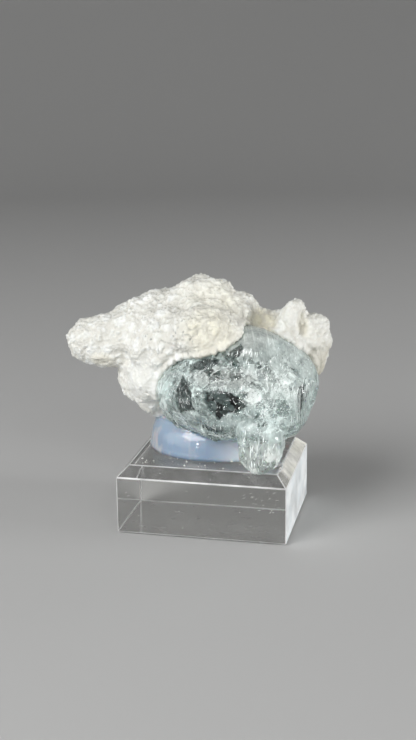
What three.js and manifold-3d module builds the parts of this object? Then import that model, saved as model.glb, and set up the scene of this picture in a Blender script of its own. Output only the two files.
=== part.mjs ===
// A mineral specimen on its display base, in millimetres, +Z up.
// A pale blue aquamarine crystal, with a small second crystal grown onto its lower edge, sits in a lumpy
// white albite matrix. A pad of clear mounting gel holds the specimen on a bevelled acrylic block.
// The origin is the centre of the block's underside: +X runs along the block's long side, and the crystal
// faces -Y.
import * as THREE from "three";
import { ConvexGeometry } from "three/addons/geometries/ConvexGeometry.js";
import { ImprovedNoise } from "three/addons/math/ImprovedNoise.js";
import { mergeVertices } from "three/addons/utils/BufferGeometryUtils.js";
import Module from "manifold-3d";

const INCH = 25.4;

// Neighbouring pieces touch, and their faceted solids keep this much air between them.
const GAP = 0.3;

// The acrylic block is a stock size, with a 45 degree bevel round its top.
const BLOCK = { width: 1.25 * INCH, depth: 1 * INCH, height: 0.5 * INCH, bevel: 2.0 };

// The pad of gel: its outline on the block is an oval that is fuller in front than behind. Its side swells
// by the bulge, and its foot spreads by the flare.
const PAD = {
  centre: [-0.3, 3.2],
  halfWidth: 11.4,
  front: 8.4,
  back: 6.4,
  height: 6.1,
  bulge: 0.8,
  flare: 0.7,
};
const PAD_STEPS = { around: 48, up: 8 };

// Each crystal is a stubby prism that etching has rounded. Its outline is seen from the front, as X and Z.
// It bulges to the front and back of the outline's own plane, and a few broad faces cut it flat, each at its
// own reach from the middle.
const MAIN_CRYSTAL = {
  detail: 7,
  plane: -4,
  front: 8.6,
  back: 7.5,
  middle: [5.6, 27.4],
  outline: [
    [-9.3, 25.6], [-8.9, 22.0], [-6.6, 19.2], [-2.4, 17.6], [3.6, 17.1], [9.4, 17.1], [14.2, 17.7],
    [17.2, 19.6], [19.0, 23.2], [20.3, 27.8], [19.4, 31.4], [16.6, 34.2], [12.4, 36.5], [8.0, 38.0],
    [3.4, 37.4], [-1.6, 34.6], [-6.4, 31.2], [-8.6, 28.8],
  ],
  faces: [
    { facing: [0.1, -1, 0.12], reach: 7.6 }, // front
    { facing: [0.62, -0.55, 0.75], reach: 10.4 }, // upper right
    { facing: [0.97, -0.5, -0.1], reach: 13.4 }, // right
    { facing: [-0.75, -0.7, 0.1], reach: 13.2 }, // left
    { facing: [-0.35, -0.7, -0.65], reach: 10.2 }, // lower left
    { facing: [-0.15, -0.6, 0.85], reach: 9.6 }, // top
  ],
};

// The second crystal hangs from the first, and narrows downwards to a rounded tip.
const SIDE_CRYSTAL = {
  detail: 4,
  plane: -11.3,
  front: 3.0,
  back: 5.2,
  middle: [10.8, 18.0],
  outline: [
    [6.9, 21.8], [6.8, 18.2], [6.9, 15.7], [8.1, 14.1], [9.5, 13.1], [11.2, 13.0], [12.9, 14.0],
    [14.3, 15.6], [15.2, 17.9], [14.7, 20.1], [13.7, 22.3], [10.6, 23.2],
  ],
  faces: [
    { facing: [-0.3, -1, -0.1], reach: 2.9 }, // front
    { facing: [0.75, -0.8, -0.2], reach: 4.2 }, // right
    { facing: [-0.7, -0.5, -0.5], reach: 4.0 }, // left
  ],
};
const OUTLINE_STEPS = 360;

// The albite is two masses of overlapping lumps: centre, radii, and lean about the front-to-back axis in
// degrees. A smooth blend fills the creases between lumps, and a shallow noise roughens the whole. Every
// line out from the heart of a mass leaves it once. The grid of those lines is drawn out along X, which
// makes it finer at the far ends.
const BLEND = 0.8;
const ROUGHNESS = { size: 3.2, depth: 0.9 };
const FARTHEST = 36;
const MASSES = [
  {
    heart: [-2.0, 4.0, 32.0],
    detail: 15,
    drawnOut: 1.6,
    lumps: [
      { at: [-6.0, 5.5, 32.5], radii: [11.0, 8.8, 10.2] }, // body
      { at: [-7.4, -0.8, 33.4], radii: [8.6, 6.8, 7.0] }, // front of the body
      { at: [-2.6, 3.6, 39.2], radii: [7.4, 6.6, 6.3] }, // crown
      { at: [3.4, 3.2, 38.4], radii: [4.8, 5.2, 4.2] }, // right shoulder
      { at: [4.9, 3.0, 40.9], radii: [2.0, 3.0, 1.8] }, // knob on the right shoulder
      { at: [-12.4, 3.4, 36.8], radii: [7.2, 6.0, 5.4], lean: -14 }, // left shoulder
      { at: [-19.0, 2.4, 33.8], radii: [7.0, 5.2, 4.7], lean: -16 }, // arm
      { at: [-25.3, 2.0, 33.0], radii: [3.8, 3.9, 4.0] }, // end of the arm
      { at: [-22.8, 1.2, 30.2], radii: [4.0, 3.2, 2.3] }, // under the arm
      { at: [-12.7, 2.4, 27.4], radii: [6.2, 6.0, 6.8], lean: 28 }, // flank
      { at: [-10.2, -1.6, 27.6], radii: [4.2, 5.0, 5.4], lean: 30 }, // front of the flank
      { at: [-12.0, 3.0, 22.2], radii: [6.0, 5.2, 3.6], lean: 38 }, // foot
      { at: [-0.2, -6.0, 37.0], radii: [7.0, 5.0, 5.2], lean: 2 }, // lobe over the crystal
      { at: [5.0, 8.0, 28.0], radii: [10.4, 6.2, 9.6] }, // wall behind the crystal
      { at: [12.0, 6.4, 34.8], radii: [6.4, 5.0, 4.6] }, // ridge behind the crystal
    ],
  },
  {
    heart: [16.4, 3.4, 34.6],
    detail: 7,
    drawnOut: 1,
    lumps: [
      { at: [14.2, 0.8, 38.0], radii: [2.9, 2.9, 4.9], lean: 24 }, // standing finger
      { at: [15.6, 0.2, 35.4], radii: [2.2, 2.4, 2.0] }, // fan between finger and rosette
      { at: [18.2, 3.4, 35.4], radii: [3.2, 4.2, 4.3] }, // rosette
      { at: [18.9, 3.2, 31.0], radii: [2.4, 3.4, 3.2] }, // foot of the rosette
      { at: [14.6, 4.2, 33.6], radii: [4.0, 4.4, 4.2] }, // root of the cluster
    ],
  },
];

const FINISHES = {
  acrylic: { color: 0xe9eef0, roughness: 0.05, opacity: 0.35 },
  gel: { color: 0x9fb2d6, roughness: 0.25, opacity: 0.85 },
  albite: { color: 0xf1eee6, roughness: 0.75, opacity: 1 },
  aquamarine: { color: 0xa9cfd2, roughness: 0.1, opacity: 0.55 },
};

const noise = new ImprovedNoise();
const wasm = await Module();
wasm.setup();

/** A closed geometry as a manifold-3d solid. */
function solidOf(geometry) {
  const bare = geometry.clone();
  bare.deleteAttribute("normal");
  bare.deleteAttribute("uv");
  const merged = mergeVertices(bare, 1e-4);
  const mesh = new wasm.Mesh({
    numProp: 3,
    vertProperties: merged.attributes.position.array,
    triVerts: new Uint32Array(merged.index.array),
  });
  return new wasm.Manifold(mesh);
}

/** A manifold-3d solid as a geometry with flat shading. */
function geometryOf(solid) {
  const { vertProperties, triVerts } = solid.getMesh();
  const indexed = new THREE.BufferGeometry();
  indexed.setAttribute("position", new THREE.BufferAttribute(new Float32Array(vertProperties), 3));
  indexed.setIndex(new THREE.BufferAttribute(new Uint32Array(triVerts), 1));
  const geometry = indexed.toNonIndexed();
  geometry.computeVertexNormals();
  return geometry;
}

const unionOf = (solids) => solids.reduce((joined, solid) => joined.add(solid));

/** Moves every vertex of a geometry by a function that changes its position. */
function reshape(geometry, change) {
  const position = geometry.attributes.position;
  const point = new THREE.Vector3();
  for (let i = 0; i < position.count; i++) {
    change(point.fromBufferAttribute(position, i));
    position.setXYZ(i, point.x, point.y, point.z);
  }
  return geometry;
}

/** The block: a slab with its top edges bevelled. */
function blockGeometry({ width, depth, height, bevel }) {
  const corners = (inset, z) =>
    [[-1, -1], [1, -1], [1, 1], [-1, 1]].map(
      ([x, y]) => new THREE.Vector3(x * (width / 2 - inset), y * (depth / 2 - inset), z),
    );
  return new ConvexGeometry([...corners(0, 0), ...corners(0, height - bevel), ...corners(bevel, height)]);
}

/** The pad before the specimen is pressed into it: a puck of unit radius, stretched to the pad's oval. */
function padGeometry({ centre, halfWidth, front, back, height, bulge, flare }) {
  const profile = [new THREE.Vector2(0, 0)];
  for (let i = 0; i <= PAD_STEPS.up; i++) {
    const rise = i / PAD_STEPS.up;
    const swell = bulge * Math.sin(Math.PI * rise) + flare * (1 - rise) ** 6;
    profile.push(new THREE.Vector2(1 + swell / halfWidth, rise * height));
  }
  profile.push(new THREE.Vector2(0, height));
  return reshape(new THREE.LatheGeometry(profile, PAD_STEPS.around).rotateX(Math.PI / 2), (p) => {
    const reach = p.y < 0 ? front : back;
    p.set(centre[0] + p.x * halfWidth, centre[1] + p.y * reach, BLOCK.height + GAP + p.z);
  });
}

/** A crystal with the given outline, grown by the given thickness. */
function crystalGeometry({ detail, plane, front, back, middle, outline, faces }, grow) {
  const rim = new THREE.CatmullRomCurve3(
    outline.map(([x, z]) => new THREE.Vector3(x - middle[0], 0, z - middle[1])),
    true,
    "centripetal",
  ).getPoints(OUTLINE_STEPS);
  const bearings = rim.map((point) => Math.atan2(point.z, point.x));
  const reachTowards = (bearing) => {
    let nearest = 0;
    bearings.forEach((other, i) => {
      if (Math.cos(other - bearing) > Math.cos(bearings[nearest] - bearing)) nearest = i;
    });
    return Math.hypot(rim[nearest].x, rim[nearest].z);
  };
  const cuts = faces.map(({ facing, reach }) => {
    return { normal: new THREE.Vector3(...facing).normalize(), reach };
  });
  const centre = new THREE.Vector3(middle[0], plane, middle[1]);
  return reshape(new THREE.IcosahedronGeometry(1, detail), (p) => {
    const bearing = Math.atan2(p.z, p.x);
    const spread = Math.hypot(p.x, p.z) ** 0.75 * reachTowards(bearing);
    const depth = Math.sign(p.y) * Math.abs(p.y) ** 0.8 * (p.y < 0 ? front : back);
    p.set(spread * Math.cos(bearing), depth, spread * Math.sin(bearing));
    for (const { normal, reach } of cuts) {
      p.addScaledVector(normal, Math.min(0, reach - p.dot(normal)));
    }
    p.setLength(p.length() + grow).add(centre);
  });
}

/** About how far a point is outside one lump. */
function distanceToLump(point, { at, radii: [a, b, c], lean = 0 }) {
  const angle = THREE.MathUtils.degToRad(lean);
  const east = point.x - at[0];
  const up = point.z - at[2];
  const x = east * Math.cos(angle) - up * Math.sin(angle);
  const y = point.y - at[1];
  const z = east * Math.sin(angle) + up * Math.cos(angle);
  const scaled = Math.sqrt((x / a) ** 2 + (y / b) ** 2 + (z / c) ** 2);
  const steepness = Math.sqrt((x / a ** 2) ** 2 + (y / b ** 2) ** 2 + (z / c ** 2) ** 2);
  return (scaled * (scaled - 1)) / steepness;
}

/** About how far a point is outside a blended, roughened mass of lumps. */
function distanceToMass(point, lumps) {
  const nearness = lumps.reduce((sum, lump) => sum + Math.exp(-distanceToLump(point, lump) / BLEND), 0);
  const bump = noise.noise(...point.clone().divideScalar(ROUGHNESS.size));
  return -BLEND * Math.log(nearness) - ROUGHNESS.depth * bump;
}

/** A mass of albite, grown by the given thickness: each vertex comes in along its line to the surface. */
function massGeometry({ heart, detail, drawnOut, lumps }, grow) {
  const ray = new THREE.Ray(new THREE.Vector3(...heart));
  return reshape(new THREE.IcosahedronGeometry(1, detail), (p) => {
    ray.direction.set(p.x * drawnOut, p.y, p.z).normalize();
    let reach = FARTHEST;
    for (let pass = 0; pass < 40; pass++) {
      reach -= 0.8 * (distanceToMass(ray.at(reach, p), lumps) - grow);
    }
    ray.at(reach, p);
  });
}

const crystals = (grow = 0) =>
  unionOf([MAIN_CRYSTAL, SIDE_CRYSTAL].map((crystal) => solidOf(crystalGeometry(crystal, grow))));
const masses = (grow = 0) => unionOf(MASSES.map((mass) => solidOf(massGeometry(mass, grow))));

/** A named mesh with a finish. */
function piece(name, geometry, finish) {
  const transparent = finish.opacity < 1;
  const material = new THREE.MeshStandardMaterial({ ...finish, metalness: 0, transparent });
  const mesh = new THREE.Mesh(geometry, material);
  mesh.name = name;
  return mesh;
}

const matrix = masses().subtract(crystals(GAP));
const pad = solidOf(padGeometry(PAD)).subtract(crystals(GAP)).subtract(masses(GAP));

const specimen = new THREE.Group();
specimen.add(
  piece("acrylic_base", blockGeometry(BLOCK), FINISHES.acrylic),
  piece("mounting_gel", geometryOf(pad), FINISHES.gel),
  piece("albite_matrix", geometryOf(matrix), FINISHES.albite),
  piece("aquamarine_crystal", geometryOf(crystals()), FINISHES.aquamarine),
);

export default specimen;
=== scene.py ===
"""Looks for the aquamarine specimen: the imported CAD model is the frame, and every surface is finished here.

Lengths are in millimetres until a mesh is written, but the stage, the lights and the camera are in metres.
Places on the specimen are shares of a CAD node's box.
"""

import math

import bmesh
import bpy
import numpy as np
from mathutils import Matrix, Vector
from mathutils.bvhtree import BVHTree


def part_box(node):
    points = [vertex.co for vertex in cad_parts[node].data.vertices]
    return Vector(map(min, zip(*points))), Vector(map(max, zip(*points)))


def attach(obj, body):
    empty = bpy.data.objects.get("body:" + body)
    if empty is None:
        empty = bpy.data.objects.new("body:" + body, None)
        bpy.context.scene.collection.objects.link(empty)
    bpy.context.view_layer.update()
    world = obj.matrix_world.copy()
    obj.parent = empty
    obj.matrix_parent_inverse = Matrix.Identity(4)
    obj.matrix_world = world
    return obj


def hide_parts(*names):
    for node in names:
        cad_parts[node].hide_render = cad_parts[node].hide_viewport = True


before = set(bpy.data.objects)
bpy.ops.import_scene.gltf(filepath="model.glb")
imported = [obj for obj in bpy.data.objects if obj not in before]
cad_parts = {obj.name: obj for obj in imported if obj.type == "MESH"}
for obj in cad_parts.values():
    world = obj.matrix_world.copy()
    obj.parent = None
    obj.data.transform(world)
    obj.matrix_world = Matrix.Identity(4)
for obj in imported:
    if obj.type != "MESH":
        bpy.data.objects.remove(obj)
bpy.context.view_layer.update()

MM = 0.001
FRAME_PIXELS = (416, 740)


# -------- places

ROCK, CRYSTAL, GEL, BLOCK = "albite_matrix", "aquamarine_crystal", "mounting_gel", "acrylic_base"
BOXES = {node: np.array(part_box(node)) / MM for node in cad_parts}


def place_in(node, across, deep, up):
    """The point at these shares of a CAD node's box."""
    low, high = BOXES[node]
    return low + (high - low) * (across, deep, up)


def shares_of(points, node):
    """The shares of a CAD node's box at which points lie."""
    low, high = BOXES[node]
    return (points - low) / (high - low)


# -------- noise on arrays of points

def lattice_random(cells, seed):
    """Three repeatable random numbers from 0 to 1 for each whole-number cell."""
    x, y, z = (cells[..., i].astype(np.int64) for i in range(3))
    h = ((x * 73856093) ^ (y * 19349663) ^ (z * 83492791) ^ (seed * 2654435761)).astype(np.uint64)
    for shift, factor in ((30, 0xBF58476D1CE4E5B9), (27, 0x94D049BB133111EB)):
        h = (h ^ (h >> np.uint64(shift))) * np.uint64(factor)
    h ^= h >> np.uint64(31)
    return np.stack([(h >> np.uint64(s)) & np.uint64(0x1FFFFF) for s in (0, 21, 42)], -1) / 2**21


def gradient_noise(points, size, seed):
    """Smooth noise from about -1 to 1, with features of the given size."""
    p = points / size
    base = np.floor(p)
    frac = p - base
    fade = frac**3 * (frac * (frac * 6 - 15) + 10)
    total = np.zeros(len(p))
    for corner in np.ndindex(2, 2, 2):
        slope = lattice_random(base + corner, seed) * 2 - 1
        weight = np.prod([fade[:, i] if corner[i] else 1 - fade[:, i] for i in range(3)], axis=0)
        total += weight * np.sum(slope * (frac - corner), axis=-1)
    return total * 1.6


def fractal_noise(points, size, seed, octaves=3):
    """Gradient noise summed over octaves, each half the size and strength of the one before."""
    return sum(gradient_noise(points, size / 2**k, seed + 11 * k) / 2**k for k in range(octaves))


def cells_noise(points, size, seed):
    """Distances to the nearest and second nearest of a set of scattered points, in units of size, and the
    nearest one's cell and place."""
    p = points / size
    base = np.floor(p)
    count = len(p)
    nearest, second = np.full(count, 9.0), np.full(count, 9.0)
    cell, place = np.zeros((count, 3)), np.zeros((count, 3))
    for step in np.ndindex(3, 3, 3):
        cells = base + np.array(step) - 1
        seeds = cells + lattice_random(cells, seed)
        distance = np.sqrt(np.sum((seeds - p) ** 2, axis=-1))
        closer = distance < nearest
        second = np.where(closer, nearest, np.minimum(second, distance))
        nearest = np.where(closer, distance, nearest)
        cell[closer], place[closer] = cells[closer], seeds[closer]
    return nearest, second, cell, place * size


def smooth_step(value, low, high):
    t = np.clip((value - low) / (high - low), 0, 1)
    return t * t * (3 - 2 * t)


def near_to(points, centre, radius, soft=0.5):
    """1 near a centre and 0 beyond the radius, which may differ along x, y and z."""
    distance = np.linalg.norm((points - centre) / radius, axis=-1)
    return 1 - smooth_step(distance, 1 - soft, 1)


def warped(points, size, amount, seed):
    """The points, moved about by smooth noise, so that a pattern drawn on them is irregular."""
    return points + amount * np.stack([gradient_noise(points, size, seed + 5 * k) for k in range(3)], -1)


def domes(points, size, seed):
    """Rounded nodules with creases between them: 0 in a crease and 1 on top."""
    nearest, second, _, _ = cells_noise(points, size, seed)
    return smooth_step(second - nearest, 0, 0.7)


def chips(points, size, seed):
    """Flat chips, each tilted its own way, as broken crystal has: heights in units of size, three random
    numbers for the chip that each point is on, and 0 at the chip's edge, rising inwards."""
    nearest, second, cell, place = cells_noise(points, size, seed)
    tilt = lattice_random(cell, seed + 40) * 2 - 1
    height = np.sum(tilt * (points - place), axis=-1) / size
    return height, lattice_random(cell, seed + 41), second - nearest


def scoops(points, size, seed):
    """Shell-shaped hollows with sharp ridges between them, as glass breaks: heights in units of size, three
    random numbers for the hollow that each point is in, and 1 along the ridges."""
    p = points / size
    base = np.floor(p)
    lowest, second = np.full(len(p), 9.0), np.full(len(p), 9.0)
    hollow = np.zeros((len(p), 3))
    for step in np.ndindex(3, 3, 3):
        cells = base + np.array(step) - 1
        apart = p - cells - lattice_random(cells, seed)
        tilt = lattice_random(cells, seed + 40) - 0.5
        height = np.sum(apart * (apart + tilt), axis=-1)
        lower = height < lowest
        second = np.where(lower, lowest, np.minimum(second, height))
        lowest = np.where(lower, height, lowest)
        hollow[lower] = cells[lower]
    return lowest - 0.2, lattice_random(hollow, seed + 41), 1 - smooth_step(second - lowest, 0.0, 0.12)


# -------- meshes

def read_points(mesh):
    """Vertex positions and normals of a mesh."""
    count = len(mesh.vertices)
    places, normals = np.zeros(count * 3), np.zeros(count * 3)
    mesh.vertices.foreach_get("co", places)
    mesh.vertex_normals.foreach_get("vector", normals)
    return places.reshape(-1, 3) / MM, normals.reshape(-1, 3)


def write_points(mesh, points):
    mesh.vertices.foreach_set("co", (points * MM).ravel())
    mesh.update()


def write_marks(mesh, marks):
    """Stores one number per vertex under each name, for the material to read."""
    for name, values in marks.items():
        attribute = mesh.attributes.new(name, "FLOAT", "POINT")
        attribute.data.foreach_set("value", values.astype(np.float32))


def new_object(name, data):
    piece = bpy.data.objects.new(name, data)
    bpy.context.scene.collection.objects.link(piece)
    return piece


def applied(piece):
    """The piece again, as a plain mesh, with its modifiers applied."""
    mesh = bpy.data.meshes.new_from_object(piece.evaluated_get(bpy.context.evaluated_depsgraph_get()))
    name = piece.name
    bpy.data.objects.remove(piece)
    mesh.name = name
    return new_object(name, mesh)


def fine_copy(node, name, voxel, smoothing):
    """A copy of a CAD node's mesh with an even, fine surface and its facets smoothed away."""
    piece = new_object(name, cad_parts[node].data.copy())
    remesh = piece.modifiers.new("remesh", "REMESH")
    remesh.mode, remesh.voxel_size = "VOXEL", voxel * MM
    smooth = piece.modifiers.new("smooth", "SMOOTH")
    smooth.factor, smooth.iterations = 0.5, smoothing
    return applied(piece)


def read_quads(mesh):
    """The four vertices of each face of a remeshed piece."""
    corners = np.zeros(len(mesh.loops), dtype=np.int64)
    mesh.loops.foreach_get("vertex_index", corners)
    return corners.reshape(-1, 4)


def mesh_from(name, points, faces):
    mesh = bpy.data.meshes.new(name)
    mesh.from_pydata([tuple(point * MM) for point in points], [], [tuple(face) for face in faces])
    return new_object(name, mesh)


def finish_piece(piece, material, replaced=None, smooth=False):
    """Gives a piece its material and its body, and hides the CAD node that it stands for, if any."""
    piece.data.materials.clear()
    piece.data.materials.append(material)
    piece.data.polygons.foreach_set("use_smooth", [smooth] * len(piece.data.polygons))
    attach(piece, "root")
    if replaced:
        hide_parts(replaced)


# -------- materials

class Look:
    """A new material, its main shader, and the few kinds of node that this scene builds on it. Sizes are in
    millimetres. Colours are three numbers, or a socket that gives one."""

    def __init__(self, name):
        self.material = bpy.data.materials.new(name)
        self.material.use_nodes = True
        self.nodes, self.links = self.material.node_tree.nodes, self.material.node_tree.links
        self.shader = self.nodes["Principled BSDF"]

    def set(self, **values):
        """Sets the shader's own sockets."""
        set_inputs(self.shader, **values)

    def drive(self, name, source):
        """Links a socket of the shader to a source."""
        self.links.new(source, self.shader.inputs[name])

    def add(self, kind, **values):
        node = self.nodes.new("ShaderNode" + kind)
        set_inputs(node, **values)
        return node

    def mark(self, name):
        """The number that the mesh stores under this name."""
        node = self.add("Attribute")
        node.attribute_name = name
        return node.outputs["Fac"]

    def texture(self, kind, size, stretch=(1, 1, 1), **values):
        """A texture on the piece's own coordinates, with features of this size."""
        coordinates = self.add("TexCoord")
        mapping = self.add("Mapping", Scale=[1 / (size * MM * s) for s in stretch])
        texture = self.add(kind, Scale=1.0, **values)
        self.links.new(coordinates.outputs["Object"], mapping.inputs["Vector"])
        self.links.new(mapping.outputs["Vector"], texture.inputs["Vector"])
        return texture

    def noise(self, size, detail=3.0, stretch=(1, 1, 1)):
        return self.texture("TexNoise", size, stretch, Detail=detail).outputs["Fac"]

    def flecks(self, size):
        """Small angular flecks, each with a value of its own from 0 to 1, mostly near a half."""
        return self.texture("TexVoronoi", size).outputs["Color"]

    def lines(self, width, length):
        """Fine lines along a crystal, on the side and along coordinates that its mesh stores."""
        vector = self.add("CombineXYZ")
        self.links.new(self.maths("DIVIDE", self.mark("side"), width), vector.inputs["X"])
        self.links.new(self.maths("DIVIDE", self.mark("along"), length), vector.inputs["Z"])
        noise = self.add("TexNoise", Scale=1.0, Detail=2.0)
        self.links.new(vector.outputs["Vector"], noise.inputs["Vector"])
        return noise.outputs["Fac"]

    def ramp(self, source, low, high, start=0.0, end=1.0):
        """source, from low to high, mapped to start to end and held there."""
        node = self.add("MapRange", From_Min=low, From_Max=high, To_Min=start, To_Max=end)
        self.links.new(source, node.inputs["Value"])
        return node.outputs["Result"]

    def maths(self, operation, first, second):
        node = self.add("Math")
        node.operation = operation
        for socket, value in zip(node.inputs, (first, second)):
            if isinstance(value, (int, float)):
                socket.default_value = value
            else:
                self.links.new(value, socket)
        return node.outputs["Value"]

    def blend(self, share, first, second):
        """The first colour where share is 0 and the second where it is 1."""
        node = self.add("Mix")
        node.data_type = "RGBA"
        self.links.new(share, node.inputs["Factor"])
        for socket, colour in ((node.inputs[6], first), (node.inputs[7], second)):
            if isinstance(colour, tuple):
                socket.default_value = (*colour, 1)
            else:
                self.links.new(colour, socket)
        return node.outputs[2]

    def bump(self, height, distance):
        node = self.add("Bump", Strength=1.0, Distance=distance * MM)
        self.links.new(height, node.inputs["Height"])
        self.drive("Normal", node.outputs["Normal"])


def set_inputs(node, **values):
    for name, value in values.items():
        node.inputs[name.replace("_", " ")].default_value = value


def plain_material(name, colour, roughness):
    """One colour, for the floor and for marks too small to show any texture."""
    look = Look(name)
    look.set(Base_Color=(*colour, 1), Roughness=roughness)
    return look.material


# -------- albite matrix

# Zones of the rock: the middle of each, as shares of the rock's box; its half size, in millimetres; and how
# much of that is soft edge.
ROCK_ZONES = {
    "massive": ((0.4, 0.4, 0.6), (24, 20, 17), 0.25),
    "bladed": ((0.92, 0.4, 0.72), (6, 8, 8.5), 0.5),
    "flank": ((0.33, 0.2, 0.3), (7, 9, 8), 0.5),
    "groove": ((0.905, 0.42, 0.73), (1.6, 7, 3.9), 0.8),
    "shelf": ((0.915, 0.4, 0.595), (3.2, 7, 1.5), 0.7),
    "centre": ((0.44, 0.08, 0.68), (10, 8, 8), 0.6),
    "lobe": ((0.6, 0.05, 0.74), (7.5, 9, 8.5), 0.75),
    "crown": ((0.6, 0.3, 0.9), (11, 14, 8), 0.8),
    "saddle": ((0.745, 0.5, 0.7), (4.6, 6.5, 4.6), 0.6),
    "under_arm": ((0.155, 0.25, 0.42), (4.0, 5, 2.8), 0.5),
    "beside_finger": ((0.905, 0.42, 0.73), (1.2, 3.5, 3.2), 0.5),
    "low_right": ((0.96, 0.45, 0.46), (4.5, 8, 5.2), 0.6),
}

# The middles of the lobe's growth rings and of the fan of blades at the right, as shares of the rock's box.
RING_CENTRE = (0.57, 0.08, 0.76)
FAN_CENTRE = (0.865, 0.3, 0.62)
RING_SPACING = 1.6

ROCK_COLOURS = {
    "cream": (0.86, 0.83, 0.68),
    # Beige is partly the rock's warm tone and partly painted shade, in the hollow of the saddle, under the
    # arm and beside the finger.
    "beige_and_shade": (0.86, 0.83, 0.69),
    # Tan is partly the rock's tone and partly painted shade, on the lower right below the knobs.
    "tan_and_shade": (0.5, 0.475, 0.39),
    # Painted shade, in the low parts of the relief, the groove beside the finger, the fan of blades and under
    # the arm.
    "crevice_shade": (0.64, 0.62, 0.55),
    # Painted shade, near black, in the pits and fine cracks carved in the middle.
    "pit_shade": (0.14, 0.15, 0.15),
}


def rock_zone(points, name):
    middle, half, soft = ROCK_ZONES[name]
    return near_to(points, place_in(ROCK, *middle), half, soft)


def albite_material():
    look = Look("albite")
    look.set(IOR=1.53, Subsurface_Weight=0.22, Subsurface_Scale=0.3 * MM,
             Subsurface_Radius=(1.0, 0.95, 0.85))
    mottle = look.ramp(look.noise(2.2, detail=5), 0.35, 0.65)
    colour = look.blend(mottle, (0.9, 0.91, 0.885), (0.83, 0.845, 0.805))
    for mark, marked in ROCK_COLOURS.items():
        colour = look.blend(look.mark(mark), colour, marked)
    look.drive("Base Color", colour)
    grain = look.noise(0.34, detail=4)
    look.drive("Roughness", look.ramp(grain, 0.35, 0.65, 0.4, 0.75))
    look.bump(grain, 0.15)
    return look.material


def albite_relief(points):
    """How far each point of the rock stands out, and its colour marks, some of them painted shade."""
    bent = warped(points, 2.4, 0.5, 11)
    nodules = domes(bent, 2.7, 21)
    knots = domes(warped(points, 1.3, 0.25, 12), 1.25, 22)
    grains = domes(points, 0.75, 23)
    massive = rock_zone(points, "massive")
    height = 0.25 * massive * fractal_noise(points, 4.5, 25, 2)
    height += (0.12 + 0.06 * massive) * (nodules - 0.6) + 0.19 * (knots - 0.6)
    height += 0.2 * (grains - 0.5) + 0.1 * gradient_noise(points, 0.5, 24)

    from_lobe = (points - place_in(ROCK, *RING_CENTRE)) * (1, 0.35, 1)
    ring = np.linalg.norm(from_lobe, axis=-1) + 0.5 * gradient_noise(points, 3.2, 31)
    phase = (ring / RING_SPACING) % 1
    crest = smooth_step(phase, 0, 0.75) * (1 - smooth_step(phase, 0.85, 1))
    rings = smooth_step(ring, 1.6, 3.0) * (1 - smooth_step(ring, 8.0, 10.5))
    rings *= smooth_step(from_lobe @ (0.75, 0, 0.66), -2.0, 2.5)
    height += rings * (0.24 * crest - 0.12)

    spoke = points - place_in(ROCK, *FAN_CENTRE)
    turn = np.arctan2(spoke[:, 2], spoke[:, 0])
    reach = np.linalg.norm(spoke, axis=-1)
    blades = gradient_noise(np.stack([turn * 6.5, reach / 2.6, points[:, 1] / 2.2], -1), 1.0, 33)
    bladed = rock_zone(points, "bladed")
    height += bladed * 0.3 * (0.6 - np.abs(blades) * 2.0)

    flank = rock_zone(points, "flank")
    height *= 1 - 0.3 * flank
    groove = rock_zone(points, "groove")
    height += 0.6 * rock_zone(points, "shelf") - 1.1 * groove
    centre = rock_zone(points, "centre")
    crack = 1 - smooth_step(np.abs(gradient_noise(bent, 3.4, 35)), 0.0, 0.05)
    height -= centre * crack * 0.25
    near, _, cell, _ = cells_noise(points, 0.85, 36)
    pit = (1 - smooth_step(near, 0.12, 0.32)) * (lattice_random(cell, 37)[:, 0] > 0.6) * centre
    height -= 0.25 * pit

    blot = 0.5 + 0.5 * fractal_noise(points, 3.5, 41)
    cream = np.maximum(0.85 * rock_zone(points, "lobe"), 0.45 * rock_zone(points, "crown"))
    under_arm = rock_zone(points, "under_arm")
    # Painted shade, in part: the hollows where shade falls are coloured beige.
    beige_and_shade = np.maximum.reduce([rock_zone(points, "saddle"), 0.8 * under_arm,
                               0.8 * rock_zone(points, "beside_finger")])
    # Painted shade: the lower a point lies among the nodules, the darker it is coloured.
    low = 1 - smooth_step(nodules * 0.5 + knots * 0.3 + grains * 0.2, 0.05, 0.5)
    crevice_shade = np.maximum.reduce([low, groove, 0.6 * bladed, 1.1 * under_arm])
    marks = {
        "cream": cream * (0.45 + 0.8 * blot),
        "beige_and_shade": beige_and_shade * (0.6 + 0.5 * blot),
        "tan_and_shade": rock_zone(points, "low_right") * (0.5 + 0.6 * blot),
        "crevice_shade": 0.6 * crevice_shade * (1 - 0.6 * flank),
        "pit_shade": 0.8 * np.maximum(pit, 0.6 * crack * centre * smooth_step(blot, 0.35, 0.7)),
    }
    return height, {name: np.clip(mark, 0, 1) for name, mark in marks.items()}


def contact_push(points, node, reach, push):
    """push for points within reach of a CAD node's surface, fading to 0, so that neighbours touch."""
    tree = tree_of(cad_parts[node])
    amounts = np.zeros(len(points))
    low, high = BOXES[node]
    close = np.all((points > low - reach) & (points < high + reach), axis=-1)
    for index in np.flatnonzero(close):
        distance = tree.find_nearest(Vector(points[index] * MM), reach * MM)[3]
        if distance is not None:
            amounts[index] = push * (1 - smooth_step(distance / MM, 0.5 * reach, reach))
    return amounts


def make_albite():
    piece = fine_copy(ROCK, "albite_rock", voxel=0.226, smoothing=11)
    points, normals = read_points(piece.data)
    height, marks = albite_relief(points)
    lumps = 0.8 + 0.3 * domes(warped(points, 1.3, 0.25, 12), 1.8, 26) + 0.15 * gradient_noise(points, 0.6, 27)
    height += contact_push(points, CRYSTAL, reach=1.4, push=0.9) * lumps
    write_points(piece.data, points + normals * height[:, None])
    write_marks(piece.data, marks)
    finish_piece(piece, albite_material(), ROCK, smooth=True)


# -------- aquamarine

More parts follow.
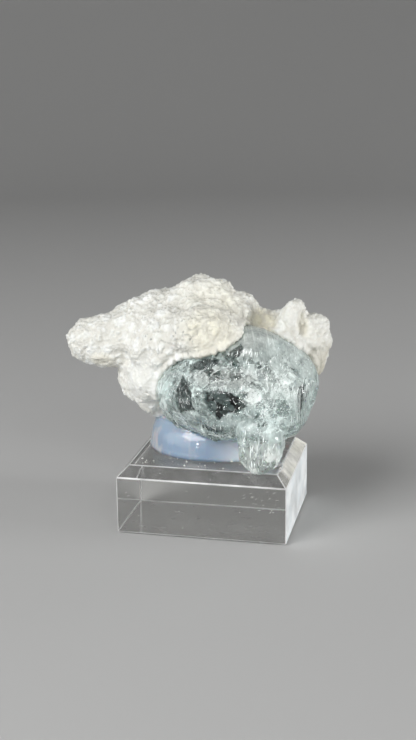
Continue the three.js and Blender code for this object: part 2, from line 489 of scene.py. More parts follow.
# Zones of the crystal, seen from the front: the middle and half size of each, as shares of the crystal's
# width and height.
ZONES = {
    "top": ((0.58, 0.94), (0.28, 0.13)),
    "upper_right": ((0.82, 0.76), (0.28, 0.3)),
    "central_band": ((0.48, 0.7), (0.27, 0.11)),
    "lower_right": ((0.76, 0.46), (0.2, 0.18)),
    "left_rim": ((0.03, 0.52), (0.12, 0.32)),
    "lower_left": ((0.2, 0.36), (0.15, 0.13)),
    "cloud": ((0.56, 0.36), (0.17, 0.09)),
    # The zone of sparkle, right of the middle, is made almost wholly milky white: a painted highlight
    # standing in for glints.
    "painted_sparkle": ((0.63, 0.57), (0.07, 0.08)),
    "small_crystal": ((0.7, 0.14), (0.18, 0.19)),
}

# Clear windows, where little milk is left and a near-black sheet inside the crystal paints them dark: how
# much of the milk is left there, and the outline, as shares of the crystal's width and height.
CLEAR_WINDOWS = (
    (0.0, ((0.355, 0.6), (0.43, 0.612), (0.5, 0.6), (0.56, 0.56), (0.6, 0.5), (0.55, 0.452),
           (0.49, 0.445), (0.43, 0.39), (0.4, 0.44), (0.365, 0.48), (0.35, 0.54))),
    (0.12, ((0.2, 0.7), (0.24, 0.66), (0.27, 0.58), (0.26, 0.5), (0.29, 0.45), (0.24, 0.44), (0.19, 0.42),
            (0.165, 0.5), (0.16, 0.58))),
    (0.3, ((0.245, 0.775), (0.3, 0.815), (0.37, 0.83), (0.43, 0.83), (0.44, 0.8), (0.37, 0.765),
            (0.33, 0.745), (0.27, 0.745))),
    (0.2, ((0.47, 0.83), (0.5, 0.88), (0.55, 0.925), (0.58, 0.9), (0.55, 0.85), (0.51, 0.825))),
    (0.05, ((0.3, 0.305), (0.38, 0.325), (0.46, 0.31), (0.47, 0.28), (0.38, 0.27), (0.31, 0.28))),
    (0.4, ((0.9, 0.64), (0.94, 0.65), (0.955, 0.58), (0.93, 0.47), (0.895, 0.43), (0.905, 0.53))),
)

# What the crystal is like, from 0 to 1: first elsewhere, and then in each zone. The last four are the share
# of its surface that isn't crushed to chips, and how much is kept of each layer of plates inside it.
STRENGTHS = {
    "milk": (0.29, {"upper_right": 0.52, "top": 0.52, "cloud": 0.45, "left_rim": 0.62, "lower_left": 0.58,
                    "lower_right": 0.46, "central_band": 0.38, "painted_sparkle": 0.95, "small_crystal": 0.92}),
    "speckled": (0.6, {"upper_right": 0.85, "top": 0.25, "cloud": 0.2, "left_rim": 0.2, "lower_right": 1.0,
                        "central_band": 0.8, "painted_sparkle": 1.0, "small_crystal": 0.35}),
    "neutral": (0.2, {"top": 1.0, "upper_right": 0.6, "central_band": 1.0, "small_crystal": 1.0,
                      "painted_sparkle": 0.8}),
    "whole": (0.55, {"central_band": 0.3, "lower_right": 0.2, "painted_sparkle": 0.0, "upper_right": 0.45}),
    "near_cracks": (0.3, {"central_band": 0.5, "lower_right": 0.5, "left_rim": 0.2, "upper_right": 0.15,
                           "painted_sparkle": 0.9, "small_crystal": 0.3}),
    "deep_cracks": (0.5, {}),
    "painted_dark_windows": (0.0, {}),
}

BERYL_IOR = 1.577
CRYSTAL_LEAN = math.radians(11)


def zone(share, name, soft=0.6):
    """1 in the middle of a zone and 0 outside it."""
    middle, half = ZONES[name]
    distance = np.linalg.norm((share[:, [0, 2]] - middle) / half, axis=-1)
    return 1 - smooth_step(distance, 1 - soft, 1)


def strength_of(share, name):
    """One of the strengths, blended from zone to zone."""
    elsewhere, strengths = STRENGTHS[name]
    value = np.full(len(share), elsewhere)
    for place, strength in strengths.items():
        inside = zone(share, place)
        value = value * (1 - inside) + strength * inside
    return value


def in_outline(share, outline):
    """True where the shares lie inside an outline, by counting the edges to one side of them."""
    inside = np.zeros(len(share), dtype=bool)
    across, up = share[:, 0], share[:, 2]
    for (x1, z1), (x2, z2) in zip(outline, outline[1:] + outline[:1]):
        if z1 != z2:
            crossed = (z1 > up) != (z2 > up)
            inside ^= crossed & (across < x1 + (x2 - x1) * (up - z1) / (z2 - z1))
    return inside


def window_haze(points):
    """How much of the milk is left: all of it outside the clear windows, which have ragged edges and are on
    the front of the crystal."""
    share = shares_of(warped(points, 0.9, 0.12, 71), CRYSTAL)
    left = np.ones(len(points))
    for haze, outline in CLEAR_WINDOWS:
        left[in_outline(share, outline) & (share[:, 1] < 0.6)] = haze
    return left


def aquamarine_material():
    """Clear beryl, pale blue-green through its depth. The mesh says where its surface is milky, speckled with
    fine breaks or streaked along its length."""
    look = Look("aquamarine")
    look.set(IOR=BERYL_IOR)
    speckles = look.ramp(look.flecks(0.38), 0.6, 0.66)
    fine = look.ramp(look.noise(0.34, detail=3), 0.5, 0.6, 0.35, 1.0)
    speckles = look.maths("MULTIPLY", speckles, fine)
    streaks = look.ramp(look.lines(0.3, 4.5), 0.54, 0.64)
    broken = look.maths("MULTIPLY", look.mark("speckled"), speckles)
    streaked = look.maths("MULTIPLY", look.mark("streaked"), streaks)
    broken = look.maths("MAXIMUM", broken, streaked)
    grain = look.ramp(look.noise(0.45, detail=4, stretch=(1, 1, 3)), 0.36, 0.66, 0.8, 1.12)
    clouded = look.maths("MULTIPLY", look.mark("milk"), grain)
    milk = look.maths("MINIMUM", look.maths("MAXIMUM", broken, clouded), 0.95)
    look.drive("Transmission Weight", look.maths("SUBTRACT", 1.0, milk))
    clear = look.blend(look.mark("neutral"), (0.8, 0.95, 0.925), (0.87, 0.935, 0.9))
    milky = look.blend(look.mark("neutral"), (0.87, 1.0, 0.975), (0.95, 1.0, 0.965))
    look.drive("Base Color", look.blend(milk, clear, milky))
    look.drive("Roughness", look.ramp(milk, 0.1, 0.9, 0.02, 0.14))
    facets = look.maths("MULTIPLY", look.mark("speckled"), look.flecks(0.45))
    look.bump(facets, 0.1)
    absorption = look.add("VolumeAbsorption", Color=(0.15, 0.56, 0.54, 1), Density=15.0)
    look.links.new(absorption.outputs["Volume"], look.nodes["Material Output"].inputs["Volume"])
    return look.material


def aquamarine_relief(points, normals):
    """How far each point of the crystal stands out, and what its material reads: how milky, speckled and
    streaked it is, and its coordinates across and along the crystal's fine lines."""
    share = shares_of(points, CRYSTAL)
    across, up = share[:, 0], share[:, 2]
    small = zone(share, "small_crystal", 0.3)
    striated = np.maximum(smooth_step(across, 0.84, 0.93), smooth_step(up + 0.35 * across, 1.02, 1.14))
    striated *= 1 - small
    rim = zone(share, "left_rim", 0.4)
    smooth = np.maximum(0.7 * zone(share, "cloud", 0.4), 0.6 * zone(share, "lower_left", 0.5))
    broken = (1 - striated) * (1 - 0.8 * rim) * (1 - 0.9 * small) * (1 - smooth)

    turned, upright = math.sin(CRYSTAL_LEAN), math.cos(CRYSTAL_LEAN)
    along = points @ (turned, 0, upright)
    side = points @ (upright, 0.25, -turned) + 0.022 * (points[:, 2] - 28) ** 2
    lines = gradient_noise(np.stack([side / 0.55, points[:, 1] / 4, along / 14], -1), 1.0, 51)
    lines += 0.6 * gradient_noise(np.stack([side / 1.2, points[:, 1] / 5, along / 18], -1), 1.0, 52)

    broad, broad_chance, _ = scoops(warped(points, 3, 0.8, 54), 4.4, 55)
    plate, plate_chance, plate_ridge = scoops(warped(points, 1.5, 0.3, 53), 2.0, 56)
    chip, chip_chance, chip_ridge = scoops(warped(points, 0.9, 0.2, 59), 0.75, 57)
    long_face, long_chance, long_ridge = scoops(points * (1, 1, 0.4), 1.9, 68)
    crushed = plate_chance[:, 2] > strength_of(share, "whole")
    height = (0.15 + 0.85 * broken) * (broad + 0.4 * plate) + (0.02 + 0.16 * broken * crushed) * chip
    height += striated * 0.1 * lines
    facet, _, from_edge = chips(warped(points, 2.5, 0.4, 44), 3.4, 45)
    height += rim * 0.9 * facet
    height += small * (0.7 * long_face + 0.2 * gradient_noise(points * (1, 1, 0.1), 0.7, 58))

    cloud = 0.5 + 0.5 * fractal_noise(points, 2.6, 61)
    patch = smooth_step(gradient_noise(points, 1.6, 62), -0.3, 0.35)
    milk = strength_of(share, "milk")
    milk *= 1 + 1.5 * small * (long_chance[:, 0] - 0.5)
    milk *= 1 + broken * (0.5 * (broad_chance[:, 0] - 0.5) + 1.4 * (plate_chance[:, 0] - 0.5)
                          + 1.3 * crushed * (chip_chance[:, 0] - 0.5))
    white_ridges_and_rim_light = np.maximum.reduce([
        0.9 * broken * plate_ridge * (plate_chance[:, 1] > 0.5),
        0.9 * broken * crushed * chip_ridge * (chip_chance[:, 1] > 0.6),
        0.8 * small * long_ridge * (long_chance[:, 1] > 0.4),
        0.95 * rim * (1 - smooth_step(from_edge, 0.0, 0.08)),
        # Painted highlight: faces turned away from the front, round the crystal's outline, get a milky white
        # rim.
        0.5 * (1 - zone(share, "cloud", 0.2)) * smooth_step(normals[:, 1], -0.3, 0.0),
    ])
    milk = np.maximum(milk * (0.7 + 0.6 * cloud), white_ridges_and_rim_light)
    speckled = strength_of(share, "speckled") * (0.35 + 0.65 * patch) * (0.15 + 0.85 * crushed)
    streaked = (0.9 * striated + 0.8 * small) * (0.5 + 0.5 * cloud)
    haze = window_haze(points)
    return height, {
        "milk": np.clip(milk, 0, 0.9) * haze,
        "speckled": speckled * (0.15 + 0.85 * haze),
        "streaked": streaked * haze,
        "neutral": strength_of(share, "neutral"),
        "side": side,
        "along": along,
    }


def make_aquamarine():
    piece = fine_copy(CRYSTAL, "aquamarine", voxel=0.163, smoothing=5)
    points, normals = read_points(piece.data)
    height, marks = aquamarine_relief(points, normals)
    write_points(piece.data, points + normals * height[:, None])
    write_marks(piece.data, marks)
    finish_piece(piece, aquamarine_material(), CRYSTAL, smooth=True)
    return tree_of(piece)


# -------- what is inside the crystal

def tree_of(piece):
    """A search tree of a piece's surface, in metres."""
    vertices = [vertex.co for vertex in piece.data.vertices]
    return BVHTree.FromPolygons(vertices, [tuple(face.vertices) for face in piece.data.polygons])


# Layers of broken plates inside the crystal: the share of them kept in the smoky windows; how fine the layer
# is, how deep its plates lie, how wide they are and how far they tilt, in millimetres; and whether they are
# hollow cracks, with their faces turned inwards.
LAYERS = {
    "near_cracks": dict(in_windows=0.08, voxel=0.2, depth=0.9, size=1.3, tilt=0.9, seed=72, hollow=True),
    "deep_cracks": dict(in_windows=0.0, voxel=0.25, depth=2.4, size=2.4, tilt=2.2, seed=73, hollow=True),
    # The last layer is a near-black sheet close behind the clear windows: painted shade that makes them look
    # dark.
    "painted_dark_windows": dict(in_windows=1.0, voxel=0.2, depth=0.7, size=1.6, tilt=0.6, seed=74, hollow=False),
}
PLATE_THICKNESS = 0.05


def inner_material(name, light, dark, roughness, size):
    """A broken surface inside the crystal, in angular patches from a light to a dark colour."""
    look = Look(name)
    mottle = look.ramp(look.flecks(size), 0.35, 0.75)
    look.drive("Base Color", look.blend(mottle, dark, light))
    look.set(Roughness=roughness)
    return look.material


def crack_material():
    """The faces of an air-filled crack: its normals point into the crack, so light meets them from beryl."""
    look = Look("crack")
    look.set(Base_Color=(1, 1, 1, 1), IOR=BERYL_IOR, Transmission_Weight=1.0)
    look.drive("Roughness", look.ramp(look.noise(0.6), 0.35, 0.65, 0.0, 0.2))
    return look.material


def inner_layer(name, in_windows, voxel, depth, size, tilt, seed, hollow):
    """One of the layers: a copy of the crystal's surface, sunk to a depth and cut into tilted chips, of which
    only some are kept."""
    piece = fine_copy(CRYSTAL, name, voxel, smoothing=8)
    points, normals = read_points(piece.data)
    height, chance, _ = chips(warped(points, 1.5, 0.4, seed), size, seed)
    sunk = points - normals * (depth - tilt * height)[:, None]
    elsewhere = strength_of(shares_of(points, CRYSTAL), name)
    kept = chance[:, 0] < np.where(window_haze(points) < 1, in_windows, elsewhere)
    quads = read_quads(piece.data)
    whole = kept[quads].all(axis=1)
    if hollow:
        whole &= np.ptp(chance[quads, 1], axis=1) == 0
    used, quads = np.unique(quads[whole], return_inverse=True)
    bpy.data.objects.remove(piece)
    piece = mesh_from(name, sunk[used], quads.reshape(-1, 4))
    thick = piece.modifiers.new("thick", "SOLIDIFY")
    thick.thickness = PLATE_THICKNESS * MM
    piece = applied(piece)
    if hollow:
        piece.data.flip_normals()
    return piece


def front_of(tree, x, z):
    """Where a line from the front first meets the crystal's surface at this x and z, or None."""
    hit = tree.ray_cast(Vector((x * MM, -0.05, z * MM)), Vector((0, 1, 0)))
    return None if hit[0] is None else hit[0].y / MM


# Dark flecks: how many, and the middle and half size of where they lie, as shares of the crystal's width and
# height.
DARK_FLECKS = (
    (170, (0.45, 0.69), (0.2, 0.07)),
    (110, (0.34, 0.79), (0.13, 0.05)),
    (120, (0.66, 0.5), (0.13, 0.1)),
    (90, (0.22, 0.55), (0.09, 0.18)),
    (120, (0.76, 0.72), (0.15, 0.12)),
    (60, (0.38, 0.29), (0.12, 0.04)),
)


def scattered(random, middle, half):
    """A random place in the crystal's front, most likely near the middle given."""
    across, up = middle + np.array(half) * random.normal(0, 0.6, 2).clip(-1.7, 1.7)
    return place_in(CRYSTAL, across, 0, up)


def make_dark_flecks(tree):
    """Thin dark scales scattered close behind the crystal's front surface."""
    random = np.random.default_rng(84)
    points, faces = [], []
    for count, middle, half in DARK_FLECKS:
        for _ in range(count):
            spot = scattered(random, middle, half)
            front = front_of(tree, spot[0], spot[2])
            if front is None:
                continue
            spot[1] = front + random.uniform(0.25, 1.1)
            axes = np.linalg.qr(random.normal(size=(3, 3)))[0]
            sides = random.integers(4, 7)
            turns = np.sort(random.uniform(0, 2 * math.pi, sides))
            reach = random.uniform(0.1, 0.42) * random.uniform(0.5, 1.0, sides)
            rim = spot + (reach * np.cos(turns))[:, None] * axes[0]
            rim += (reach * np.sin(turns))[:, None] * axes[1] * 0.5
            first = len(points)
            points += [*rim, spot + axes[2] * 0.03, spot - axes[2] * 0.03]
            for k in range(sides):
                here, following = first + k, first + (k + 1) % sides
                faces += [(here, following, first + sides), (following, here, first + sides + 1)]
    piece = mesh_from("dark_flecks", points, faces)
    material = inner_material("dark_fleck", light=(0.1, 0.13, 0.12), dark=(0.02, 0.03, 0.03),
                              roughness=0.4, size=0.4)
    finish_piece(piece, material)


# White slivers of broken surface, many of them painted glints and, along the right edge and round the small
# crystal, a painted bright rim; and thin dark strips. Each row gives how many; the middle and half size of
# where they lie, as shares of the crystal's width and height; the longest and the widest, in millimetres; and
# their lean from upright and its spread, in degrees.
FRACTURE_AND_GLINT_SLIVERS = (
    (60, (0.63, 0.9), (0.15, 0.07), 1.3, 0.19, 5, 5),
    (95, (0.93, 0.55), (0.06, 0.28), 3.0, 0.16, 0, 4),
    (90, (0.8, 0.72), (0.14, 0.15), 0.9, 0.15, 5, 12),
    (90, (0.78, 0.72), (0.15, 0.15), 0.35, 0.16, 0, 60),
    (150, (0.46, 0.68), (0.22, 0.12), 0.35, 0.14, 0, 60),
    (230, (0.74, 0.49), (0.16, 0.14), 0.32, 0.14, 0, 60),
    (110, (0.63, 0.57), (0.055, 0.065), 0.4, 0.18, 0, 60),
    (50, (0.46, 0.605), (0.11, 0.02), 0.3, 0.14, 0, 60),
    (30, (0.38, 0.3), (0.11, 0.04), 1.2, 0.09, 0, 25),
    (45, (0.22, 0.55), (0.08, 0.16), 1.1, 0.09, -15, 25),
    (10, (0.5, 0.5), (0.08, 0.07), 0.9, 0.08, 10, 45),
    (34, (0.7, 0.14), (0.14, 0.13), 1.8, 0.22, 3, 10),
    (40, (0.7, 0.12), (0.14, 0.14), 0.45, 0.28, 0, 50),
    (40, (0.07, 0.52), (0.06, 0.22), 1.4, 0.13, 8, 8),
    (60, (0.55, 0.36), (0.25, 0.08), 0.35, 0.12, 0, 60),
    (60, (0.15, 0.36), (0.11, 0.11), 1.0, 0.14, -25, 20),
    (40, (0.42, 0.245), (0.14, 0.012), 0.7, 0.1, 90, 15),
)
DARK_SLIVERS = (
    (90, (0.45, 0.69), (0.2, 0.08), 0.45, 0.12, 0, 60),
    (50, (0.32, 0.78), (0.13, 0.06), 0.9, 0.14, 30, 40),
    (60, (0.68, 0.52), (0.15, 0.12), 0.45, 0.11, 0, 60),
    (45, (0.23, 0.56), (0.08, 0.18), 0.9, 0.13, -10, 30),
    (30, (0.12, 0.38), (0.1, 0.12), 1.0, 0.12, -25, 20),
    (90, (0.74, 0.74), (0.16, 0.12), 0.45, 0.12, 10, 50),
    (20, (0.63, 0.9), (0.15, 0.07), 1.0, 0.09, 5, 6),
    (22, (0.93, 0.55), (0.04, 0.2), 2.6, 0.12, 0, 4),
    (30, (0.4, 0.29), (0.12, 0.03), 0.6, 0.13, 0, 50),
    (24, (0.7, 0.14), (0.14, 0.12), 1.0, 0.12, 0, 14),
)

# The length of a sliver's steps, which is also the deepest drop that it follows, and how far it stands out.
SLIVER_STEP = 0.3
SLIVER_LIFT = 0.02


def make_slivers(name, tree, rows, colour, seed):
    """Narrow strips that lie on the front of the crystal and follow it."""
    random = np.random.default_rng(seed)
    points, faces = [], []
    for count, middle, half, longest, widest, lean, spread in rows:
        for _ in range(count):
            start = scattered(random, middle, half)[[0, 2]]
            turn = math.radians(random.normal(lean, spread))
            way = np.array([math.sin(turn), math.cos(turn)])
            long, wide = longest * random.uniform(0.3, 1), widest * random.uniform(0.4, 1)
            steps = max(2, math.ceil(long / SLIVER_STEP))
            before = None
            for k in range(steps + 1):
                x, z = start + way * long * (k / steps - 0.5)
                y = front_of(tree, x, z)
                if y is None or (before is not None and abs(y - before) > SLIVER_STEP):
                    break
                taper = 0.5 * wide * (0.15 + math.sin(math.pi * k / steps))
                points += [(x - way[1] * taper, y - SLIVER_LIFT, z + way[0] * taper),
                           (x + way[1] * taper, y - SLIVER_LIFT, z - way[0] * taper)]
                if k:
                    last = len(points)
                    faces.append((last - 4, last - 3, last - 1, last - 2))
                before = y
    piece = mesh_from(name, np.array(points), faces)
    finish_piece(piece, plain_material(name, colour, roughness=0.25))


def make_inside(tree):
    for name, layer in LAYERS.items():
        piece = inner_layer(name, **layer)
        # The layer that isn't hollow is the near-black sheet of painted shade behind the clear windows.
        material = crack_material() if layer["hollow"] else inner_material(
            "painted_dark_window", light=(0.16, 0.2, 0.195), dark=(0.006, 0.012, 0.012), roughness=0.2, size=1.1)
        finish_piece(piece, material)
    make_dark_flecks(tree)
    # The white slivers are partly painted glints and a painted bright rim.
    make_slivers("white_slivers_and_painted_glints", tree, FRACTURE_AND_GLINT_SLIVERS, (0.95, 1.0, 0.99), 85)
    make_slivers("dark_slivers", tree, DARK_SLIVERS, (0.05, 0.07, 0.068), 86)


# -------- mounting gel

# How much the pad's surface is grown to meet its neighbours, how far its front and its left side lean back
# over its height, and how far the middle of its front bulges.
GEL_GROWTH = 0.27
GEL_LEAN = 2.05
GEL_LEFT_LEAN = 1.5
GEL_BULGE = 0.3


def gel_material():
    look = Look("mounting_gel")
    look.set(Roughness=0.32, IOR=1.45, Coat_Weight=1.0, Coat_Roughness=0.05,
             Subsurface_Weight=0.5, Subsurface_Scale=1.2 * MM)
    streaks = look.ramp(look.noise(2.4, detail=3, stretch=(1, 1, 2.4)), 0.5, 0.72)
    streaks = look.maths("MULTIPLY", streaks, look.mark("streaked"))
    deep_blue, painted_lit_blue, cloudy = (0.255, 0.345, 0.465), (0.86, 0.91, 0.96), (0.6, 0.56, 0.55)
    # Painted light: the pad's deep blue turns pale where the mesh marks painted light.
    colour = look.blend(look.mark("painted_light"), deep_blue, painted_lit_blue)
    colour = look.blend(streaks, colour, cloudy)
    look.drive("Base Color", colour)
    return look.material


def make_gel():
    """The soft pad, pressed against the block and the specimen."""
    piece = fine_copy(GEL, "gel_pad", voxel=0.2, smoothing=8)
    points, normals = read_points(piece.data)
    across, up = shares_of(points, GEL)[:, [0, 2]].T
    height = GEL_GROWTH + 0.06 * gradient_noise(points, 4.0, 91) + 0.01 * gradient_noise(points, 1.2, 92)
    front = smooth_step(-normals[:, 1], 0.3, 0.9)
    left = (1 - front) * smooth_step(-normals[:, 0], 0.3, 0.9)
    height += left * GEL_LEFT_LEAN * (0.5 - up)
    height += front * (GEL_LEAN * (0.5 - up) + GEL_BULGE * (1 - (2 * up - 1) ** 2))
    grown = points + normals * height[:, None]
    grown[:, 2] = np.maximum(grown[:, 2], BOXES[BLOCK][1, 2] + 0.01)
    write_points(piece.data, grown)
    # Painted light: paler towards the top, and much paler at the right, where the crystal shades the pad.
    painted_light = 0.13 * smooth_step(up, 0.3, 0.9) + smooth_step(across, 0.5, 0.85)
    write_marks(piece.data, {"streaked": 1 - smooth_step(across, 0.3, 0.45), "painted_light": np.minimum(painted_light, 1)})
    finish_piece(piece, gel_material(), GEL, smooth=True)


# -------- acrylic block

EDGE_ROUNDING = 0.17


def acrylic_material(name, haze, roughness, clean, smeared, front_share):
    """Clear acrylic with a white film, as a row of BLOCK_FILMS gives it: dust on most faces, painted light on
    others.
    """
    look = Look(name)
    look.set(Roughness=roughness, IOR=1.49)
    smears = look.ramp(look.noise(4.0, detail=2, stretch=(1, 1.6, 0.7)), 0.4, 0.6)
    look.drive("Base Color", look.blend(smears, clean, smeared))
    film = look.ramp(look.noise(3.0, detail=3), 0.3, 0.7, 0.5, 1.3)
    specks = look.ramp(look.noise(0.35, detail=1), 0.7, 0.78, 0, 4)
    # On the edges, the right side and the right bevel this white is painted highlight and reflection.
    dust = look.maths("MULTIPLY", look.maths("ADD", film, specks), haze)
    if front_share < 1:
        apart = look.add("SeparateXYZ")
        look.links.new(look.add("TexCoord").outputs["Object"], apart.inputs["Vector"])
        fade = look.ramp(apart.outputs["Y"], *(y * MM for y in FILM_FADES), front_share, 1.0)
        dust = look.maths("MULTIPLY", dust, fade)
    look.drive("Transmission Weight", look.maths("SUBTRACT", 1.0, dust))
    return look.material


# How cloudy each face of the block is: the share of white, the roughness, the colours where it is clean and
# where it is smeared, and how much of the film is left at the front. The white of the edges is a painted
# highlight, and the white of the right side and the cream of the right bevel are painted reflections; on the
# other faces the film is dust.
CLEAR = (0.97, 0.97, 0.95)
BLOCK_FILMS = {
    "faces": (0.02, 0.0, CLEAR, CLEAR, 1),
    "edges": (0.6, 0.3, (1, 1, 1), (1, 1, 1), 1),
    "underside": (0.1, 0.1, CLEAR, CLEAR, 1),
    "right_side_reflection": (0.97, 0.45, (0.97, 1.0, 1.0), (0.86, 0.91, 0.93), 1),
    "right_bevel_reflection": (0.78, 0.25, (1.0, 0.99, 0.93), (0.88, 0.87, 0.78), 0.35),
    "front_bevel": (0.07, 0.05, CLEAR, CLEAR, 1),
}
# Where a film that thins towards the front is thinnest and where it is whole, as places in y.
FILM_FADES = (-9.0, -7.0)


def block_mesh():
    """The CAD block, which is convex, as a mesh with one polygon to a face."""
    builder = bmesh.new()
    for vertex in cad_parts[BLOCK].data.vertices:
        builder.verts.new(vertex.co)
    bmesh.ops.remove_doubles(builder, verts=builder.verts, dist=1e-6)
    bmesh.ops.convex_hull(builder, input=builder.verts)
    bmesh.ops.dissolve_limit(builder, angle_limit=0.01, verts=builder.verts, edges=builder.edges)
    mesh = bpy.data.meshes.new("acrylic_block")
    builder.to_mesh(mesh)
    builder.free()
    return mesh


def make_acrylic():
    """The block: its edges are rounded a little, and some of its faces are cloudier than others."""
    piece = new_object("acrylic_block", block_mesh())
    round_edges = piece.modifiers.new("round_edges", "BEVEL")
    round_edges.width, round_edges.segments = EDGE_ROUNDING * MM, 3
    round_edges.limit_method, round_edges.angle_limit = "ANGLE", math.radians(20)
    films = [acrylic_material("acrylic_" + name, *film) for name, film in BLOCK_FILMS.items()]
    for film in films:
        piece.data.materials.append(film)
    # The rounded edges take the edges film, whose white is a painted highlight.
    round_edges.material = list(BLOCK_FILMS).index("edges")
    piece = applied(piece)
    edges = [face.index for face in piece.data.polygons if face.material_index]
    finish_piece(piece, films[0], BLOCK)
    for film in films[1:]:
        piece.data.materials.append(film)
    for face in piece.data.polygons:
        x, y, z = face.normal
        if face.index in edges:
            name = "edges"
        elif z < -0.9:
            name = "underside"
        # The right side and the right bevel take films that paint a reflection.
        elif x > 0.9:
            name = "right_side_reflection"
        elif x > 0.5:
            name = "right_bevel_reflection"
        elif y < -0.5 and z > 0.5:
            name = "front_bevel"
        else:
            name = "faces"
        face.material_index = list(BLOCK_FILMS).index(name)


# The curl of clear glue between the small crystal and the block: its points, from the right front corner of
# the block's top, and how thick it is there as a share of its radius. The corner is in shares of the block.
GLUE_CURL = (
    ((-1.9, -0.5, 1.0), 1.0), ((-1.2, 1.1, 0.6), 0.8), ((-0.75, 3.3, 0.35), 1.0),
    ((-0.2, 4.2, 0.25), 1.3), ((0.3, 3.5, 0.2), 1.2), ((0.3, 1.8, 0.15), 1.0), ((0.0, 0.7, 0.1), 0.8),
)
GLUE_RADIUS = 0.21
TOP_CORNER = (0.937, 0.079, 1)


def make_glue():
    """A hardened curl of clear glue on the right front corner of the block's top."""
    curve = bpy.data.curves.new("glue_curl", "CURVE")
    curve.dimensions, curve.use_fill_caps = "3D", True
    curve.bevel_depth, curve.bevel_resolution = GLUE_RADIUS * MM, 3
    spline = curve.splines.new("BEZIER")
    spline.bezier_points.add(len(GLUE_CURL) - 1)
    corner = place_in(BLOCK, *TOP_CORNER)
    for point, (step, thickness) in zip(spline.bezier_points, GLUE_CURL):
        point.co = (corner + step) * MM
        point.radius = thickness
        point.handle_left_type = point.handle_right_type = "AUTO"
    piece = applied(new_object("glue_curl", curve))
    look = Look("clear_glue")
    look.set(Base_Color=(1, 1, 1, 1), IOR=1.48, Roughness=0.05)
    look.drive("Transmission Weight", look.ramp(look.noise(0.8), 0.35, 0.65, 0.75, 0.25))
    finish_piece(piece, look.material, smooth=True)


# How many grains and scratches there are, a grain's corners in half sizes, half a scratch's width and how far
# it stands out.
DUST_GRAINS = 48
GRAIN_CORNERS = ((1, 0, 0), (0, 1, 0), (-1, 0, 0), (0, -1, 0), (0, 0, 1), (0, 0, -0.5))
SCRATCHES = 34
SCRATCH_HALF_WIDTH = 0.035
SCRATCH_LIFT = 0.012


def make_dust():
    """Grains of dust on the block, mostly round the foot of the pad, and short scratches on its front, mostly
    near its upper right corner."""
    random = np.random.default_rng(95)
    low, high = BOXES[BLOCK]
    points, faces = [], []
    for index in range(DUST_GRAINS):
        right_end = high[0] - (9 if index % 4 else 2.6)
        back_end = low[1] + (7.0 if index % 5 else 18.0)
        sizes = (0.08, 0.18) if index % 3 else (0.22, 0.36)
        x, y = random.uniform(low[0] + 2.6, right_end), random.uniform(low[1] + 2.3, back_end)
        size = random.uniform(*sizes)
        first = len(points)
        middle = np.array([x, y, high[2] + 0.5 * size])
        points += [middle + size * np.array(step) * random.uniform(0.5, 1.0) for step in GRAIN_CORNERS]
        for k in range(4):
            here, following = first + k, first + (k + 1) % 4
            faces += [(here, following, first + 4), (following, here, first + 5)]
    for index in range(SCRATCHES):
        shares, heights = ((0.74, 0.97), (6.0, 10.0)) if index % 3 else ((0.05, 0.95), (1.0, 9.5))
        x = low[0] + (high[0] - low[0]) * random.uniform(*shares)
        z = random.uniform(*heights)
        long, turn = random.uniform(0.15, 0.9), random.normal(0.5, 0.25)
        across = SCRATCH_HALF_WIDTH * np.array([-math.sin(turn), 0, math.cos(turn)])
        half = 0.5 * long * np.array([math.cos(turn), 0, math.sin(turn)])
        middle = np.array([x, low[1] - SCRATCH_LIFT, z])
        first = len(points)
        points += [middle - half, middle - across, middle + half, middle + across]
        faces.append((first, first + 1, first + 2, first + 3))
    piece = mesh_from("dust", points, faces)
    material = plain_material("dust", (0.85, 0.85, 0.82), roughness=0.6)
    finish_piece(piece, material)


# -------- stage, lights and camera

# The floor's radius, the wall's radius and height, and how far the floor lies below the block, in metres.
SWEEP = {"floor": 0.45, "wall": 0.95, "height": 0.8, "below": 0.0003}
SWEEP_BENDS = 16
SWEEP_TURNS = 96


def make_stage():
    """A pale floor that curves up into a wall all round."""
    profile = [(0.0, 0.0), (SWEEP["floor"], 0.0)]
    bend = SWEEP["wall"] - SWEEP["floor"]
    for k in range(1, SWEEP_BENDS + 1):
        turn = math.pi / 2 * k / SWEEP_BENDS
        profile.append((SWEEP["floor"] + bend * math.sin(turn), bend * (1 - math.cos(turn))))
    profile.append((SWEEP["wall"], SWEEP["height"]))
    builder = bmesh.new()
    verts = [builder.verts.new((radius, 0, height - SWEEP["below"])) for radius, height in profile]
    edges = [builder.edges.new(pair) for pair in zip(verts, verts[1:])]
    bmesh.ops.spin(builder, geom=verts + edges, cent=(0, 0, 0), axis=(0, 0, 1), angle=2 * math.pi,
                   steps=SWEEP_TURNS)
    bmesh.ops.remove_doubles(builder, verts=builder.verts, dist=1e-6)
    bmesh.ops.recalc_face_normals(builder, faces=builder.faces)
    mesh = bpy.data.meshes.new("sweep")
    builder.to_mesh(mesh)
    builder.free()
    sweep = new_object("sweep", mesh)
    mesh.polygons.foreach_set("use_smooth", [True] * len(mesh.polygons))
    mesh.materials.append(plain_material("sweep", (0.52, 0.52, 0.515), roughness=0.8))


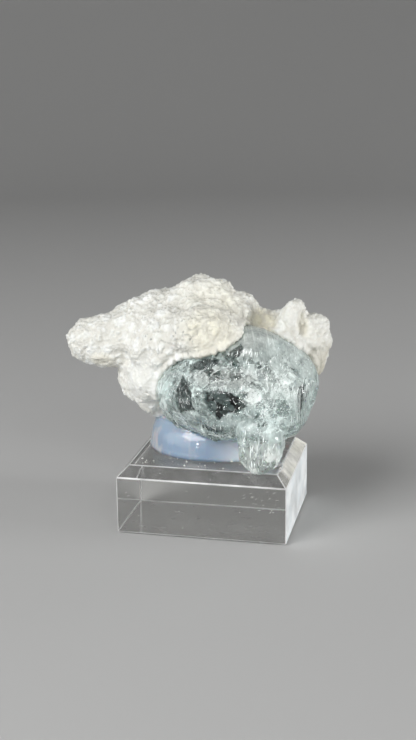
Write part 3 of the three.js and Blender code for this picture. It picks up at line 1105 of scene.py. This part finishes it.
# Soft oval lights, aimed at the specimen: where each stands, its width and height, and its power in watts.
# The first two glints are the pad's.
AIM = Vector((0, 0, 0.03))
LIGHTS = {
    "key": ((-0.24, -0.4, 0.42), 0.4, 0.4, 2.25),
    "left_fill": ((-0.42, -0.3, 0.13), 0.45, 0.45, 0.8),
    "right_fill": ((0.31, -0.42, 0.15), 0.4, 0.4, 0.48),
    "right": ((0.46, 0.02, 0.08), 0.2, 0.2, 1.35),
    "back": ((0.34, 0.42, 0.26), 0.3, 0.3, 0.2),
    "high_glint": ((-0.15, -0.392, 0.129), 0.05, 0.034, 0.11),
    "low_glint": ((-0.15, -0.392, 0.061), 0.042, 0.03, 0.09),
    "right_glint": ((0.2, -0.34, 0.3), 0.03, 0.03, 0.08),
}


def make_lights():
    for name, (place, width, height, power) in LIGHTS.items():
        lamp = bpy.data.lights.new(name, "AREA")
        lamp.shape, lamp.size, lamp.size_y, lamp.energy = "ELLIPSE", width, height, power
        light = new_object(name, lamp)
        light.location = place
        light.rotation_euler = (AIM - Vector(place)).to_track_quat("-Z", "Y").to_euler()
        light.visible_camera = False
    world = bpy.data.worlds.new("world")
    world.use_nodes = True
    world.node_tree.nodes["Background"].inputs["Color"].default_value = (0.1, 0.1, 0.1, 1)
    bpy.context.scene.world = world


# The camera, worked out from the block's corners: it stands to the front right, a little above, and turns
# slightly about its own axis. Angles are in degrees, lengths in metres and the focal length in pixels.
CAMERA = {"azimuth": 12.92, "elevation": 15.84, "roll": -0.77, "distance": 0.2415,
          "across": -0.001447, "up": 0.02745, "focal": 1250}
SENSOR_WIDTH = 36


def make_camera():
    azimuth, elevation, roll = (math.radians(CAMERA[name]) for name in ("azimuth", "elevation", "roll"))
    level = math.cos(elevation)
    back = Vector((math.sin(azimuth) * level, -math.cos(azimuth) * level, math.sin(elevation)))
    right = (-back).cross(Vector((0, 0, 1))).normalized()
    up = right.cross(-back)
    across = math.cos(roll) * right + math.sin(roll) * up
    upward = -math.sin(roll) * right + math.cos(roll) * up
    lens = bpy.data.cameras.new("camera")
    lens.sensor_width = SENSOR_WIDTH
    lens.lens = SENSOR_WIDTH * CAMERA["focal"] / max(FRAME_PIXELS)
    lens.clip_start = 0.01
    camera = new_object("camera", lens)
    camera.location = back * CAMERA["distance"] + across * CAMERA["across"] + upward * CAMERA["up"]
    camera.rotation_euler = Matrix((across, upward, back)).transposed().to_euler()
    bpy.context.scene.camera = camera


def set_rendering():
    bpy.context.scene.view_settings.view_transform = "Standard"
    cycles = bpy.context.scene.cycles
    cycles.max_bounces = 32
    cycles.diffuse_bounces = 12
    cycles.glossy_bounces = 16
    cycles.transmission_bounces = 24
    cycles.use_denoising = True


make_camera()
make_albite()
make_inside(make_aquamarine())
make_gel()
make_acrylic()
make_glue()
make_dust()
make_stage()
make_lights()
set_rendering()
